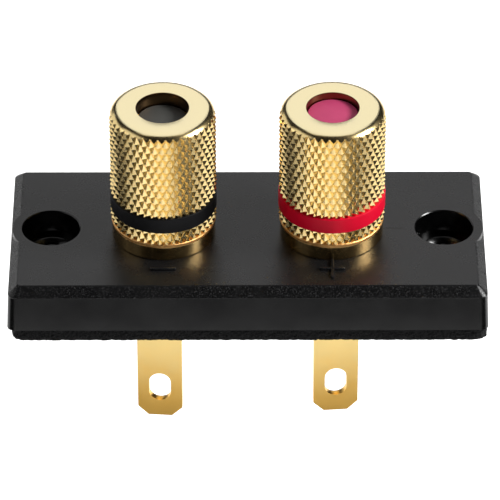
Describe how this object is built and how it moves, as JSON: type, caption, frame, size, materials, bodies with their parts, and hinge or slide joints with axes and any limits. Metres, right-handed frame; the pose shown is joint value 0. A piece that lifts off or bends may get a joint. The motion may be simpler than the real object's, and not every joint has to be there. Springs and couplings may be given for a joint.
{
  "type": "twin binding post terminal",
  "caption": "Panel-mount pair of screw-down binding posts with knurled knobs, colour rings, gasket and bent solder tags.",
  "frame": {"origin": "middle of the two panel screw holes, on the panel's rear face", "axes": "+Z out of the panel's front, +X along the panel from the black post to the red one, -Y the side that the solder tags leave from"},
  "size_m": [0.054, 0.0242, 0.0386],
  "materials": {
    "panel_plastic": "satin moulded, with a fine texture on the bevel",
    "foam": "cut closed-cell foam",
    "gold": "gold plated, polished",
    "gold_knurled": "gold plated, turned top and knurled sides",
    "gold_sheet": "gold plated sheet",
    "black_ring": "smooth",
    "black_stopper": "satin",
    "red_ring": "gloss",
    "red_stopper": "satin"
  },
  "bodies": {
    "terminal": {"panel": "panel_plastic", "gasket": "foam", "black_post": "gold", "black_stopper": "black_stopper", "black_plain_washer": "gold", "black_fixing_nut": "gold", "black_solder_tag": "gold_sheet", "black_lock_washer": "gold", "black_tag_nut": "gold", "red_post": "gold", "red_stopper": "red_stopper", "red_plain_washer": "gold", "red_fixing_nut": "gold", "red_solder_tag": "gold_sheet", "red_lock_washer": "gold", "red_tag_nut": "gold"},
    "black_washer": {"black_clamp_washer": "gold"},
    "black_grip": {"black_knob": "gold_knurled", "black_ring": "black_ring"},
    "red_washer": {"red_clamp_washer": "gold"},
    "red_grip": {"red_knob": "gold_knurled", "red_ring": "red_ring"}
  },
  "joints": [
    {"name": "black_washer_lift", "type": "slide", "parent": "terminal", "child": "black_washer", "axis": [0, 0, 1], "range_m": [0, 0.006]},
    {"name": "black_knob_turn", "type": "hinge", "parent": "black_washer", "child": "black_grip", "pos_m": [-0.0095, -0.0004, 0.0054], "axis": [0, 0, 1], "range_deg": [0, 2160]},
    {"name": "red_washer_lift", "type": "slide", "parent": "terminal", "child": "red_washer", "axis": [0, 0, 1], "range_m": [0, 0.006]},
    {"name": "red_knob_turn", "type": "hinge", "parent": "red_washer", "child": "red_grip", "pos_m": [0.0095, -0.0004, 0.0054], "axis": [0, 0, 1], "range_deg": [0, 2160]}
  ],
  "couplings": [
    {"joint": "black_washer_lift", "follows": "black_knob_turn", "m_per_rad": 0.00015915},
    {"joint": "red_washer_lift", "follows": "red_knob_turn", "m_per_rad": 0.00015915}
  ]
}
